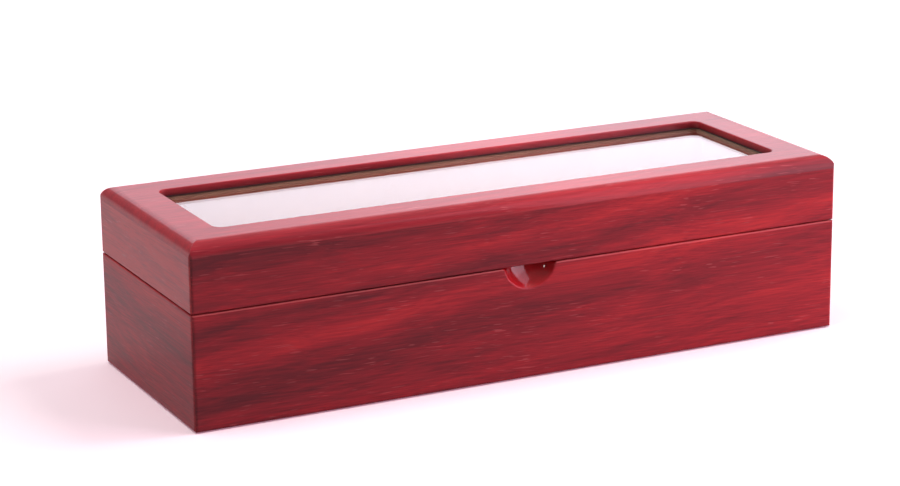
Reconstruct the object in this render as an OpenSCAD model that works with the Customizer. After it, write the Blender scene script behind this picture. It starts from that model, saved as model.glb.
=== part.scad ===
// Pocket watch display case: a hinged rosewood box with a glazed lid and a padded, divided tray.
// Millimetres. The origin is the centre of the underside, +X runs to the right along the front,
// +Y to the hinged back, and +Z up. The case is drawn shut.

/* [Case] */
// Outside width of the wooden case
case_w = 320; // [280:1:400]
// Outside depth of the wooden case, without the hinges
case_d = 111; // [104:1:130]
// Height from the table to the top of the lid
case_h = 83; // [81:1:100]
// Height of the joint line between base and lid
seam_z = 52.2; // [50:0.1:54]
// Gap between the rims of base and lid
seam_gap = 0.4; // [0.4:0.1:0.8]
// Thickness of the base boards
wall = 10; // [9:0.5:11]
// Thickness of the lid boards, a little less so that the tray lip has room
lid_wall = 9.5; // [8.5:0.5:10]
// Radius along the top edge of the lid
top_round = 6.2; // [2:0.1:7]
// Radius down the upright corners
corner_round = 1.5; // [1:0.25:3]
// Radius along both rims, where lid and base meet
rim_round = 0.8; // [0.3:0.1:1.2]

/* [Window] */
// Width of the wooden border round the window
border = 20; // [18:1:26]
// Radius in the corners of the window
window_corner = 4.5; // [2:0.5:8]
// Depth of the glass below the top of the lid
window_depth = 3.6; // [2.6:0.1:4]
// Radius that eases the upper edge of the window
window_ease = 0.6; // [0.3:0.1:1]
// Thickness of the glass
glass_t = 2.5; // [2:0.1:3]
// How far the glass runs under the border
glass_lap = 4.5; // [3:0.5:6]

/* [Finger notch] */
// Width of the notch along the base rim
notch_w = 26; // [18:1:34]
// Drop of the notch below the base rim
notch_drop = 10.5; // [7:0.5:13]
// Depth of the notch into the front board
notch_depth = 7; // [5:0.5:7.5]
// Radius that eases the mouth of the notch
notch_ease = 1; // [0.3:0.1:1.2]
// Radius that eases the notch where it meets the rim
notch_rim_ease = 1.6; // [0.5:0.1:2.5]

/* [Tray] */
// Number of watch compartments
compartments = 5; // [4:1:6]
// Thickness of the suede-covered lining card
lining_t = 2; // [1.5:0.5:2.5]
// Height of the tray lip above the base rim
lip_rise = 3.4; // [2:0.2:5]
// Thickness of a divider
divider_t = 4; // [3:0.5:5]
// Drop of the dividers below the base rim
divider_drop = 2; // [0:0.5:6]
// Height of a watch cushion at its crown, above the tray floor
cushion_h = 38; // [30:1:40]
// Diameter of the nest that holds the watch
nest_d = 45; // [36:1:46]
// Depth of the nest
nest_depth = 6; // [4:0.5:7]

/* [Hinges] */
// Length of each hinge
hinge_len = 34; // [28:1:50]
// Distance of each hinge from the middle of the case
hinge_x = 100; // [80:1:120]
// Radius of the hinge barrel
barrel_r = 2.3; // [2:0.1:2.6]
// Radius of the hinge pin
pin_r = 1; // [0.8:0.1:1.2]
// Thickness of a hinge leaf
leaf_t = 1.4; // [1.2:0.1:1.8]
// Angle between the two stop heels, which is a degree more than the lid opens
stop_angle = 96; // [91:1:110]

/* [Hidden] */
$fn = 72;
eps = 0.01;
SIDES = ["front", "back", "left", "right"];
HANDS = ["left", "right"];

wood = [0.56, 0.13, 0.15];
suede = [0.90, 0.84, 0.74];
brass = [0.83, 0.66, 0.34];
felt = [0.16, 0.13, 0.13];
glass_tint = [0.85, 0.93, 0.92, 0.3];
clear_rubber = [0.82, 0.82, 0.80];

// Heights
foot_gap = 0.3;
felt_t = 0.8;
panel_t = 4;
rim_z = seam_z - seam_gap / 2;
lid_z = seam_z + seam_gap / 2;
panel_top = felt_t + panel_t;
floor_z = panel_top + lining_t;
lip_z = rim_z + lip_rise;
divider_top = rim_z - divider_drop;
glass_z = case_h - window_depth - glass_t;

// Plan sizes
foot_round = 1;
inner_w = case_w - 2 * wall;
inner_d = case_d - 2 * wall;
lid_inner_w = case_w - 2 * lid_wall;
lid_inner_d = case_d - 2 * lid_wall;
window_w = case_w - 2 * border;
window_d = case_d - 2 * border;
panel_lap = 5;
felt_margin = 0.5;
felt_round = 2;
tray_w = inner_w - 2 * lining_t;
tray_d = inner_d - 2 * lining_t;
cell_pitch = (tray_w + divider_t) / compartments;
cell_w = cell_pitch - divider_t;

// Lid trim
bead_t = 2.5;
bead_w = border - lid_wall - 0.5;
lid_lining_t = 1.8;
lid_lining_z = lip_z + 1;
buffer_r = 3;
buffer_inset = 5;
buffer_clear = 0.05;

// Hinges
axis_y = case_d / 2 + 0.9;
knuckles = 5;
knuckle_pitch = hinge_len / knuckles;
knuckle_play = 0.15;
barrel_play = 0.2;
pin_play = 0.04;
leaf_reach = 9.4;
heel_reach = 3.6;
heel_drop = 6;
mortise_play = 0.1;
screw_r = 1;
screw_head_r = 1.9;
screw_head_h = 1.1;
screw_len = 8;
screw_slot = 0.4;
screw_y = axis_y - 5.9;
screw_x = [-11, 0, 11];

// Watch cushions
cushion_gap = 0.3;
cushion_w = cell_w - 2 * cushion_gap;
cushion_d = tray_d - 2 * cushion_gap;
side_parts = [10, 10];
cushion_corner = 5;
crown = 2.5;
roll_r = 4;
pinch = 1.2;
foot_inset = 1.5;
nest_r = min(nest_d / 2, cushion_w / 2 - roll_r - 1);
nest_y = -4;
nest_steps = 6;
nest_flat = 0.5;
nest_rim = 1.06;
bow_half = 9;
bow_depth = 3.5;

function along_x(side) = side == "front" || side == "back";
function toward(side) = side == "front" || side == "left" ? -1 : 1;
function hinge_place(hand) = hand == "left" ? -hinge_x : hinge_x;
function cell_x(i) = (i - (compartments + 1) / 2) * cell_pitch;
function clamp(v) = max(0, min(1, v));
function smooth(v) = clamp(v) * clamp(v) * (3 - 2 * clamp(v));

// A rectangle with round corners, centred.
module round_rect(w, d, r) {
    square([w - 2 * r, d], center = true);
    square([w, d - 2 * r], center = true);
    for (x = [-1, 1], y = [-1, 1])
        translate([x * (w / 2 - r), y * (d / 2 - r)])
            circle(r);
}

// The end view of a block: r_low rounds its lower edges and r_high its upper ones.
module end_profile(w, h, r_low, r_high) {
    translate([-w / 2, r_low])
        square([w, h - r_low - r_high]);
    translate([-w / 2 + r_low, 0])
        square([w - 2 * r_low, h / 2]);
    translate([-w / 2 + r_high, h / 2])
        square([w - 2 * r_high, h / 2]);
    for (x = [-1, 1]) {
        translate([x * (w / 2 - r_low), r_low])
            circle(r_low);
        translate([x * (w / 2 - r_high), h - r_high])
            circle(r_high);
    }
}

// The block's end view, run the length of it along x or along y.
module block_run(along, w, d, h, r_low, r_high) {
    if (along)
        rotate([90, 0, 90])
            linear_extrude(w, center = true)
                end_profile(d, h, r_low, r_high);
    else
        rotate([90, 0, 0])
            linear_extrude(d, center = true)
                end_profile(w, h, r_low, r_high);
}

// A block that stands on z = 0, rounded by crossing its three views.
module eased_block(w, d, h, r_low, r_high, r_corner) {
    intersection() {
        block_run(true, w, d, h, r_low, r_high);
        block_run(false, w, d, h, r_low, r_high);
        linear_extrude(h)
            round_rect(w, d, r_corner);
    }
}

// The share of a w by d plan that belongs to one side's board, cut by 45 degree mitres.
module mitre_share(side, w, d, reach, h) {
    s = toward(side);
    far = 2;
    plan = along_x(side)
        ? [[-w / 2 - far, s * (d / 2 + far)], [w / 2 + far, s * (d / 2 + far)],
           [w / 2 - reach, s * (d / 2 - reach)], [-w / 2 + reach, s * (d / 2 - reach)]]
        : [[s * (w / 2 + far), -d / 2 - far], [s * (w / 2 + far), d / 2 + far],
           [s * (w / 2 - reach), d / 2 - reach], [s * (w / 2 - reach), -d / 2 + reach]];
    linear_extrude(h)
        polygon(plan);
}

// One side's board of such a block, up to the height top. Between its mitres the board's own end view
// is the tighter one, so the other view isn't crossed with it.
module block_board(side, w, d, h, top, r_low, r_high, r_corner, reach) {
    intersection() {
        block_run(along_x(side), w, d, h, r_low, r_high);
        linear_extrude(h)
            round_rect(w, d, r_corner);
        mitre_share(side, w, d, reach, top);
    }
}

module hole_box(w, d, z_low, z_high) {
    translate([-w / 2, -d / 2, z_low])
        cube([w, d, z_high - z_low]);
}

// The scooped finger notch: part of a ball, with its mouth eased round an axis that stands square
// to the front, and its upper edge eased round the ball's upright axis.
module finger_notch() {
    rim_half = notch_w / 2;
    face_r = (rim_half * rim_half + notch_drop * notch_drop) / (2 * notch_drop);
    ball_r = (face_r * face_r + notch_depth * notch_depth) / (2 * notch_depth);
    ball_out = ball_r - notch_depth;
    ball_z = rim_z - notch_drop + face_r;
    ease_x = sqrt(pow(ball_r + notch_ease, 2) - pow(ball_out + notch_ease, 2));
    touch = ball_r / (ball_r + notch_ease);
    touch_y = -ball_out + (ball_out + notch_ease) * touch;
    // The upper easing bites a hair into the ball, because surfaces that only touch are hard to cut.
    ease_bite = 0.03;
    e = notch_rim_ease;
    below = ball_z - rim_z + e;
    rim_r = sqrt(pow(ball_r + e - ease_bite, 2) - below * below);
    rim_touch = ball_r / (ball_r + e);
    translate([0, -case_d / 2 - ball_out, ball_z])
        rotate_extrude()
            difference() {
                polygon([[rim_r * rim_touch - 2, -below * rim_touch], [rim_r * rim_touch, -below * rim_touch],
                         [rim_r, e - below], [rim_r, e - below + 1], [rim_r * rim_touch - 2, e - below + 1]]);
                translate([rim_r, -below])
                    circle(e);
            }
    translate([0, -case_d / 2, ball_z])
        rotate([-90, 0, 0])
            rotate_extrude() {
                intersection() {
                    translate([0, -ball_out])
                        circle(ball_r);
                    square([ball_r, notch_depth + 1]);
                }
                difference() {
                    translate([0, -1])
                        square([ease_x, 1 + touch_y]);
                    translate([ease_x, notch_ease])
                        circle(notch_ease);
                }
            }
}

// What a hinge takes out of the back boards: the leaf beds, the barrel's bed and the pilot holes.
module hinge_beds() {
    bed_len = hinge_len + 2 * mortise_play;
    for (hand = HANDS)
        translate([hinge_place(hand), 0, 0]) {
            translate([-bed_len / 2, axis_y - leaf_reach - mortise_play, rim_z - leaf_t])
                cube([bed_len, leaf_reach, 2 * leaf_t + seam_gap]);
            translate([-bed_len / 2, axis_y, seam_z])
                rotate([0, 90, 0])
                    cylinder(h = bed_len, r = barrel_r + barrel_play);
            for (x = screw_x)
                translate([x, screw_y, seam_z - screw_len - seam_gap])
                    cylinder(h = 2 * (screw_len + seam_gap), r = screw_r);
        }
}

module base_board(side) {
    color(wood)
        difference() {
            translate([0, 0, foot_gap])
                block_board(side, case_w, case_d, rim_z - foot_gap, case_h,
                            foot_round, rim_round, corner_round, 2 * wall);
            hole_box(inner_w, inner_d, 0, case_h);
            hole_box(inner_w + 2 * panel_lap, inner_d + 2 * panel_lap, 0, panel_top);
            if (side == "front")
                finger_notch();
            if (side == "back")
                hinge_beds();
        }
}

module bottom_panel() {
    color(wood)
        hole_box(inner_w + 2 * panel_lap, inner_d + 2 * panel_lap, felt_t, panel_top);
}

// The felt lies in the boards' rebate, under the panel, and stands a little proud of the boards.
module underside_felt() {
    felt_w = inner_w + 2 * (panel_lap - felt_margin);
    felt_d = inner_d + 2 * (panel_lap - felt_margin);
    color(felt)
        linear_extrude(felt_t)
            round_rect(felt_w, felt_d, felt_round);
}

// A strip of card wrapped in suede that stands on edge along X, with a half round top.
module wrapped_strip(len, t, h) {
    rotate([90, 0, 90])
        linear_extrude(len, center = true) {
            translate([-t / 2, 0])
                square([t, h - t / 2]);
            translate([0, h - t / 2])
                circle(t / 2);
        }
}

module tray_floor() {
    color(suede)
        hole_box(tray_w, tray_d, panel_top, floor_z);
}

module tray_lining(side) {
    s = toward(side);
    h = lip_z - panel_top;
    color(suede)
        if (along_x(side))
            translate([0, s * (inner_d - lining_t) / 2, panel_top])
                wrapped_strip(inner_w, lining_t, h);
        else
            translate([s * (inner_w - lining_t) / 2, 0, panel_top])
                rotate([0, 0, 90])
                    wrapped_strip(tray_d, lining_t, h);
}

module divider(i) {
    color(suede)
        translate([(cell_x(i) + cell_x(i + 1)) / 2, 0, floor_z])
            rotate([0, 0, 90])
                wrapped_strip(tray_d, divider_t, divider_top - floor_z);
}

// Stations round a cushion: a place on the core of the plan, from -1 to 1 each way, and the
// angle that faces outward there.
cushion_outline = [for (q = [0 : 3])
    let (
        n = [cos(90 * q), sin(90 * q)],
        t = [-n[1], n[0]],
        parts = side_parts[q % 2]
    )
    each concat(
        [for (k = [1 : parts - 1]) [n + t * (2 * k / parts - 1), 90 * q]],
        [for (b = [0, 45, 90]) [n + t, 90 * q + b]]
    )];
cushion_steps = len(cushion_outline);

// Plan outline at station o, drawn in by inset and, between the corners, by waist as well.
function cushion_edge(o, inset, waist) =
    let (
        share = o[0],
        pull = waist * (1 - pow(share[0] * share[1], 2)),
        out = cushion_corner - inset - pull
    )
    [share[0] * (cushion_w / 2 - cushion_corner) + out * cos(o[1]),
     share[1] * (cushion_d / 2 - cushion_corner) + out * sin(o[1])];

// Height of the crowned top, with the trough that takes the watch's crown and bow.
function cushion_top(x, y) =
    let (
        fall = pow(2 * x / cushion_w, 2) + pow(2 * y / cushion_d, 2),
        across = 0.5 + 0.5 * cos(180 * clamp(abs(x) / bow_half)),
        starts = smooth((y - nest_y - 0.75 * nest_r) / (0.3 * nest_r)),
        ends = 1 - smooth((y - cushion_d / 2 + 11) / 7)
    )
    cushion_h - crown * fall / 2 - bow_depth * across * starts * ends;

function nest_share(s) = s < nest_flat ? 1 : 0.5 + 0.5 * cos(180 * clamp((s - nest_flat) / (nest_rim - nest_flat)));

// The way from the nest's centre to station o, one millimetre long.
function nest_way(o) =
    let (
        edge = cushion_edge(o, roll_r, pinch),
        a = atan2(edge[1] - nest_y, edge[0])
    )
    [cos(a), sin(a)];

// One ring of the nest, at share s of its radius.
function nest_ring(s) = [for (o = cushion_outline)
    let (p = [0, nest_y] + s * nest_r * nest_way(o))
    [p[0], p[1], cushion_top(p[0], p[1]) - nest_depth * nest_share(s)]];

// One ring of the top, at share m of the way from the nest's rim to the rolled edge.
function crown_ring(m) = [for (o = cushion_outline)
    let (
        rim = [0, nest_y] + nest_rim * nest_r * nest_way(o),
        p = (1 - m) * rim + m * cushion_edge(o, roll_r, pinch)
    )
    [p[0], p[1], cushion_top(p[0], p[1])]];

// One ring of the rolled edge, b degrees round it.
function roll_ring(b) = [for (o = cushion_outline)
    let (
        edge = cushion_edge(o, roll_r, pinch),
        p = cushion_edge(o, roll_r * (1 - sin(b)), pinch)
    )
    [p[0], p[1], cushion_top(edge[0], edge[1]) - roll_r * (1 - cos(b))]];

// One ring of the sides, at height z: they are drawn in less toward the foot.
function side_ring(z, inset) = [for (o = cushion_outline)
    let (p = cushion_edge(o, inset, pinch * (0.4 + 0.6 * z / cushion_h)))
    [p[0], p[1], z]];

cushion_rings = concat(
    [for (k = [1 : nest_steps]) nest_ring(nest_rim * k / nest_steps)],
    [for (m = [1 : 3]) crown_ring(m / 3)],
    [for (b = [22.5 : 22.5 : 90]) roll_ring(b)],
    [for (k = [2, 1]) side_ring(cushion_h * k / 3, 0)],
    [side_ring(foot_inset, 0), side_ring(0, foot_inset)]
);

module watch_cushion(i) {
    n = cushion_steps;
    last = len(cushion_rings) - 1;
    points = concat(
        [[0, nest_y, cushion_top(0, nest_y) - nest_depth]],
        [for (r = cushion_rings) for (p = r) p],
        [[0, 0, 0]]
    );
    bands = [for (k = [0 : last - 1], j = [0 : n - 1])
        let (
            a = 1 + k * n + j,
            b = 1 + k * n + (j + 1) % n
        )
        each [[a, b, b + n], [a, b + n, a + n]]];
    nest_fan = [for (j = [0 : n - 1]) [0, 1 + (j + 1) % n, 1 + j]];
    foot_fan = [for (j = [0 : n - 1]) [len(points) - 1, 1 + last * n + j, 1 + last * n + (j + 1) % n]];
    color(suede)
        translate([cell_x(i), 0, floor_z])
            polyhedron(points = points, faces = concat(nest_fan, bands, foot_fan), convexity = 4);
}

// Where the knuckles of one leaf lie along the barrel: even places for the base, odd for the lid.
function knuckle_places(first) = [for (k = [first : 2 : knuckles - 1]) (k + 0.5) * knuckle_pitch - hinge_len / 2];

module barrel_piece(x, len, r) {
    translate([x - len / 2, 0, 0])
        rotate([0, 90, 0])
            cylinder(h = len, r = r);
}

// End view of a base leaf about the hinge axis: the bed plate, and the stop heel behind the case.
module leaf_profile() {
    g = seam_gap / 2;
    back = case_d / 2 - axis_y;
    bevel = tan(stop_angle / 2);
    translate([-leaf_reach, -g - leaf_t])
        square([leaf_reach, leaf_t]);
    polygon([[back, -heel_drop], [heel_reach - 1, -heel_drop], [heel_reach, -heel_drop + 1],
             [heel_reach, -heel_reach * bevel], [g / bevel, -g], [back, -g]]);
}

// One leaf about its axis at the origin, as it lies in the base. The lid's is this turned over.
module hinge_leaf(first, bore_r) {
    difference() {
        union() {
            difference() {
                rotate([90, 0, 90])
                    linear_extrude(hinge_len, center = true)
                        leaf_profile();
                for (x = knuckle_places(1 - first))
                    barrel_piece(x, knuckle_pitch + knuckle_play, barrel_r + barrel_play);
            }
            for (x = knuckle_places(first))
                barrel_piece(x, knuckle_pitch - knuckle_play, barrel_r);
        }
        barrel_piece(0, hinge_len + 2, bore_r);
        for (x = screw_x)
            translate([x, screw_y - axis_y, -seam_gap / 2]) {
                translate([0, 0, -leaf_t - 1])
                    cylinder(h = leaf_t + 2, r = screw_r);
                translate([0, 0, -screw_head_h])
                    cylinder(h = screw_head_h, r1 = screw_r, r2 = screw_head_r);
            }
    }
}

// A countersunk screw that points down from a head flush with z = 0.
module hinge_screw() {
    difference() {
        union() {
            translate([0, 0, -screw_head_h])
                cylinder(h = screw_head_h, r1 = screw_r, r2 = screw_head_r);
            translate([0, 0, 1.5 - screw_len])
                cylinder(h = screw_len - 1.5 - screw_head_h + eps, r = screw_r);
            translate([0, 0, -screw_len])
                cylinder(h = 1.5 + eps, r1 = 0.1, r2 = screw_r);
        }
        for (turn = [0, 90])
            rotate([0, 0, turn])
                translate([-screw_r, -screw_slot / 2, -0.6])
                    cube([2 * screw_r, screw_slot, 1]);
    }
}

module base_hinge_leaf(hand) {
    color(brass)
        translate([hinge_place(hand), axis_y, seam_z])
            hinge_leaf(0, pin_r);
}

module lid_hinge_leaf(hand) {
    color(brass)
        translate([hinge_place(hand), axis_y, seam_z])
            mirror([0, 0, 1])
                hinge_leaf(1, pin_r + pin_play);
}

module hinge_pin(hand) {
    color(brass)
        translate([hinge_place(hand), axis_y, seam_z])
            barrel_piece(0, hinge_len, pin_r);
}

module base_hinge_screws() {
    color(brass)
        for (hand = HANDS, x = screw_x)
            translate([hinge_place(hand) + x, screw_y, rim_z])
                hinge_screw();
}

module lid_hinge_screws() {
    color(brass)
        for (hand = HANDS, x = screw_x)
            translate([hinge_place(hand) + x, screw_y, lid_z])
                mirror([0, 0, 1])
                    hinge_screw();
}

module lid_board(side) {
    color(wood)
        difference() {
            translate([0, 0, lid_z])
                block_board(side, case_w, case_d, case_h - lid_z, glass_z - lid_z,
                            rim_round, top_round, corner_round, 2 * lid_wall);
            hole_box(lid_inner_w, lid_inner_d, 0, case_h);
            if (side == "back")
                hinge_beds();
        }
}

// What eases the window's upper edge: a strip along each side and a ring round each corner.
module window_ease_cut() {
    e = window_ease;
    half = [window_w / 2, window_d / 2];
    for (turn = [0, 90, 180, 270]) {
        reach = turn % 180 == 0 ? half[0] : half[1];
        run = turn % 180 == 0 ? half[1] : half[0];
        rotate([0, 0, turn])
            rotate([90, 0, 0])
                linear_extrude(2 * (run - window_corner), center = true)
                    ease_section(reach, e);
    }
    for (x = [-1, 1], y = [-1, 1])
        translate([x * (half[0] - window_corner), y * (half[1] - window_corner), 0])
            rotate_extrude()
                ease_section(window_corner, e);
}

// Section of the window's easing, where the wall stands at distance x.
module ease_section(x, e) {
    difference() {
        translate([x - 0.5, case_h - e])
            square([e + 0.5, e + 1]);
        translate([x + e, case_h - e])
            circle(e);
    }
}

// The one-piece top: the glass lies in the rebate cut into its underside.
module lid_top_frame() {
    color(wood)
        difference() {
            intersection() {
                translate([0, 0, lid_z])
                    eased_block(case_w, case_d, case_h - lid_z, rim_round, top_round, corner_round);
                hole_box(case_w + 2, case_d + 2, glass_z, case_h + 1);
            }
            linear_extrude(case_h + 1)
                round_rect(window_w, window_d, window_corner);
            window_ease_cut();
            hole_box(window_w + 2 * glass_lap, window_d + 2 * glass_lap, glass_z - 1, glass_z + glass_t);
        }
}

module glass_pane() {
    color(glass_tint)
        hole_box(window_w + 2 * glass_lap, window_d + 2 * glass_lap, glass_z, glass_z + glass_t);
}

// A suede-wrapped bead that holds the glass up into its rebate, with its inner lower edge rounded.
module glass_bead(side) {
    s = toward(side);
    ease = bead_t / 2;
    long = along_x(side);
    outer = long ? lid_inner_d / 2 : lid_inner_w / 2;
    color(suede)
        intersection() {
            rotate([0, 0, long ? 0 : 90])
                rotate([90, 0, 90])
                    linear_extrude(case_w, center = true)
                        mirror([(long ? s : -s) < 0 ? 1 : 0, 0]) {
                            translate([outer - bead_w + ease, glass_z - bead_t])
                                square([bead_w - ease, bead_t]);
                            translate([outer - bead_w, glass_z - bead_t + ease])
                                square([bead_w, bead_t - ease]);
                            translate([outer - bead_w + ease, glass_z - bead_t + ease])
                                circle(ease);
                        }
            mitre_share(side, lid_inner_w, lid_inner_d, 2 * bead_w, case_h);
        }
}

module lid_lining(side) {
    s = toward(side);
    top = glass_z - bead_t;
    h = top - lid_lining_z;
    color(suede)
        if (along_x(side))
            translate([0, s * (lid_inner_d - lid_lining_t) / 2, top])
                mirror([0, 0, 1])
                    wrapped_strip(lid_inner_w, lid_lining_t, h);
        else
            translate([s * (lid_inner_w - lid_lining_t) / 2, 0, top])
                mirror([0, 0, 1])
                    rotate([0, 0, 90])
                        wrapped_strip(lid_inner_d - 2 * lid_lining_t, lid_lining_t, h);
}

module lid_buffers() {
    color(clear_rubber)
        for (x = [-1, 1])
            translate([x * (case_w / 2 - 4 * buffer_inset), -case_d / 2 + buffer_inset, rim_z + buffer_clear])
                cylinder(h = seam_gap - buffer_clear, r = buffer_r);
}

for (s = SIDES) {
    base_board(s);
    tray_lining(s);
    lid_board(s);
    glass_bead(s);
    lid_lining(s);
}
bottom_panel();
underside_felt();
tray_floor();
for (i = [1 : compartments - 1])
    divider(i);
for (i = [1 : compartments])
    watch_cushion(i);
for (h = HANDS) {
    base_hinge_leaf(h);
    hinge_pin(h);
    lid_hinge_leaf(h);
}
base_hinge_screws();
lid_hinge_screws();
lid_top_frame();
glass_pane();
lid_buffers();
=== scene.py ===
import math

import bpy
import numpy as np
from mathutils import Matrix, Vector
from mathutils.bvhtree import BVHTree


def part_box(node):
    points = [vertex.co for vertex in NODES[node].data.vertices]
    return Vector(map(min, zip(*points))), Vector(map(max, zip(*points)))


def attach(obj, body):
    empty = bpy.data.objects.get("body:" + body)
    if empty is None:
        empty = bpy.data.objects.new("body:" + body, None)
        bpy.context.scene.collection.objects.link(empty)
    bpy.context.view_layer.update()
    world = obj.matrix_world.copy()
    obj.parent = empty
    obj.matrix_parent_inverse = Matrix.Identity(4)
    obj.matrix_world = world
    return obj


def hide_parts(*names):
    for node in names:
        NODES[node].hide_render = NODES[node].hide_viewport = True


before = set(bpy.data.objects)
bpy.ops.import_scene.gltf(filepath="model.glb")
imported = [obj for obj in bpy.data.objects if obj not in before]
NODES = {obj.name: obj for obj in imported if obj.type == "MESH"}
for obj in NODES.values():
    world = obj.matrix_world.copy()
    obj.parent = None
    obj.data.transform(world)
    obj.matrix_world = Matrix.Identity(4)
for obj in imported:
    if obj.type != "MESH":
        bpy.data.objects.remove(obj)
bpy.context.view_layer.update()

MM = 0.001
SCENE = bpy.context.scene


# Camera: fitted to the box's edges in the photograph, principal point at the picture's centre.

PHOTO_WIDTH, FOCAL_PIXELS, SENSOR_MM = 900, 2765.822, 36.0
CAMERA_TURNS = (26.219, 15.761, -0.606)
CAMERA_PLACE = (-0.54952, -1.09125, 0.39352)
NEAREST, FARTHEST = 0.05, 50


def add_camera():
    yaw, pitch, roll = (math.radians(a) for a in CAMERA_TURNS)
    level = math.cos(pitch)
    forward = Vector((math.sin(yaw) * level, math.cos(yaw) * level, -math.sin(pitch)))
    right0 = Vector((math.cos(yaw), -math.sin(yaw), 0))
    up0 = right0.cross(forward)
    right = math.cos(roll) * right0 + math.sin(roll) * up0
    up = -math.sin(roll) * right0 + math.cos(roll) * up0
    data = bpy.data.cameras.new("photo_camera")
    data.sensor_fit = "HORIZONTAL"
    data.sensor_width = SENSOR_MM
    data.lens = FOCAL_PIXELS / PHOTO_WIDTH * SENSOR_MM
    data.clip_start, data.clip_end = NEAREST, FARTHEST
    cam = bpy.data.objects.new("photo_camera", data)
    m = Matrix((right, up, -forward)).transposed().to_4x4()
    m.translation = Vector(CAMERA_PLACE)
    cam.matrix_world = m
    SCENE.collection.objects.link(cam)
    SCENE.camera = cam


# Small helpers for node materials.

class Nodes:
    def __init__(self, name):
        """A new material's nodes, or those of a tree that is given."""
        if isinstance(name, bpy.types.NodeTree):
            self.nt = name
            self.nt.nodes.clear()
            return
        self.mat = bpy.data.materials.new(name)
        self.mat.use_nodes = True
        self.nt = self.mat.node_tree
        self.nt.nodes.clear()
        self.out = self.new("ShaderNodeOutputMaterial")

    def new(self, kind, **props):
        n = self.nt.nodes.new(kind)
        for key, value in props.items():
            setattr(n, key, value)
        return n

    def link(self, a, b):
        self.nt.links.new(a, b)

    def put(self, socket, value):
        if isinstance(value, bpy.types.NodeSocket):
            self.link(value, socket)
        else:
            socket.default_value = value

    def math(self, op, a, b=None, clamp=False):
        n = self.new("ShaderNodeMath", operation=op, use_clamp=clamp)
        self.put(n.inputs[0], a)
        if b is not None:
            self.put(n.inputs[1], b)
        return n.outputs[0]

    def plus(self, first, *others):
        for other in others:
            first = self.math("ADD", first, other)
        return first

    def minus(self, a, b):
        return self.math("SUBTRACT", a, b)

    def times(self, first, *others):
        for other in others:
            first = self.math("MULTIPLY", first, other)
        return first

    def mapping(self, vector, rotation=(0, 0, 0), scale=(1, 1, 1), location=(0, 0, 0)):
        n = self.new("ShaderNodeMapping")
        self.link(vector, n.inputs["Vector"])
        n.inputs["Rotation"].default_value = rotation
        n.inputs["Scale"].default_value = scale
        n.inputs["Location"].default_value = location
        return n.outputs[0]

    def noise(self, vector, scale=1.0, detail=3.0, rough=0.5, distort=0.0):
        n = self.new("ShaderNodeTexNoise")
        self.link(vector, n.inputs["Vector"])
        n.inputs["Scale"].default_value = scale
        n.inputs["Detail"].default_value = detail
        n.inputs["Roughness"].default_value = rough
        n.inputs["Distortion"].default_value = distort
        return n.outputs["Fac"]

    def grain(self, vector, along, across, location=(0, 0, 0), **noise):
        """Noise with features so many mm long on the first axis and wide on the others."""
        size = (1 / along, 1 / across, 1 / across)
        return self.noise(self.mapping(vector, scale=size, location=location), **noise)

    def ramp(self, fac, stops, interp="LINEAR"):
        n = self.new("ShaderNodeValToRGB")
        self.link(fac, n.inputs["Fac"])
        n.color_ramp.interpolation = interp
        els = n.color_ramp.elements
        while len(els) < len(stops):
            els.new(0.5)
        for el, (pos, col) in zip(els, stops):
            el.position = pos
            el.color = (*col, 1)
        return n.outputs["Color"]

    def range(self, value, a, b, c=0.0, d=1.0, smooth=False):
        """Goes from c to d as the value goes from a to b, and stays there beyond them."""
        n = self.new("ShaderNodeMapRange")
        n.interpolation_type = "SMOOTHSTEP" if smooth else "LINEAR"
        self.link(value, n.inputs["Value"])
        for key, v in (("From Min", a), ("From Max", b), ("To Min", c), ("To Max", d)):
            n.inputs[key].default_value = v
        return n.outputs["Result"]

    def between(self, value, a, b, c, d, smooth=False):
        """Rises from 0 to 1 between a and b, and falls back between c and d."""
        return self.times(self.range(value, a, b, smooth=smooth),
                          self.range(value, c, d, 1, 0, smooth=smooth))

    def mix(self, fac, a, b):
        n = self.new("ShaderNodeMix", data_type="RGBA")
        self.put(n.inputs["Factor"], fac)
        self.put(n.inputs["A"], a if isinstance(a, bpy.types.NodeSocket) else (*a, 1))
        self.put(n.inputs["B"], b if isinstance(b, bpy.types.NodeSocket) else (*b, 1))
        return n.outputs["Result"]

    def bump(self, height, strength, distance):
        n = self.new("ShaderNodeBump")
        n.inputs["Strength"].default_value = strength
        n.inputs["Distance"].default_value = distance
        self.link(height, n.inputs["Height"])
        return n.outputs["Normal"]

    def principled(self, **values):
        p = self.new("ShaderNodeBsdfPrincipled")
        for key, value in values.items():
            self.put(p.inputs[key.replace("_", " ")], value)
        return p

    def split(self, vector):
        sep = self.new("ShaderNodeSeparateXYZ")
        self.link(vector, sep.inputs[0])
        return tuple(sep.outputs)

    def join(self, *parts):
        """A vector of three parts, of which None is left at 0."""
        com = self.new("ShaderNodeCombineXYZ")
        for socket, part in zip(com.inputs, parts):
            if part is not None:
                self.link(part, socket)
        return com.outputs[0]

    def ray(self, kind):
        """1 for the rays of a kind: Camera, Glossy, Transmission or Shadow."""
        return self.new("ShaderNodeLightPath").outputs[f"Is {kind} Ray"]

    def place(self, order="XYZ"):
        """Object coordinates in millimetres, with the axes in another order."""
        tc = self.new("ShaderNodeTexCoord")
        s = self.new("ShaderNodeVectorMath", operation="SCALE")
        self.link(tc.outputs["Object"], s.inputs[0])
        s.inputs["Scale"].default_value = 1 / MM
        if order == "XYZ":
            return s.outputs[0]
        axes = dict(zip("XYZ", self.split(s.outputs[0])))
        return self.join(*(axes[axis] for axis in order))

    def finish(self, shader):
        self.link(shader.outputs[0], self.out.inputs["Surface"])
        return self.mat


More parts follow.
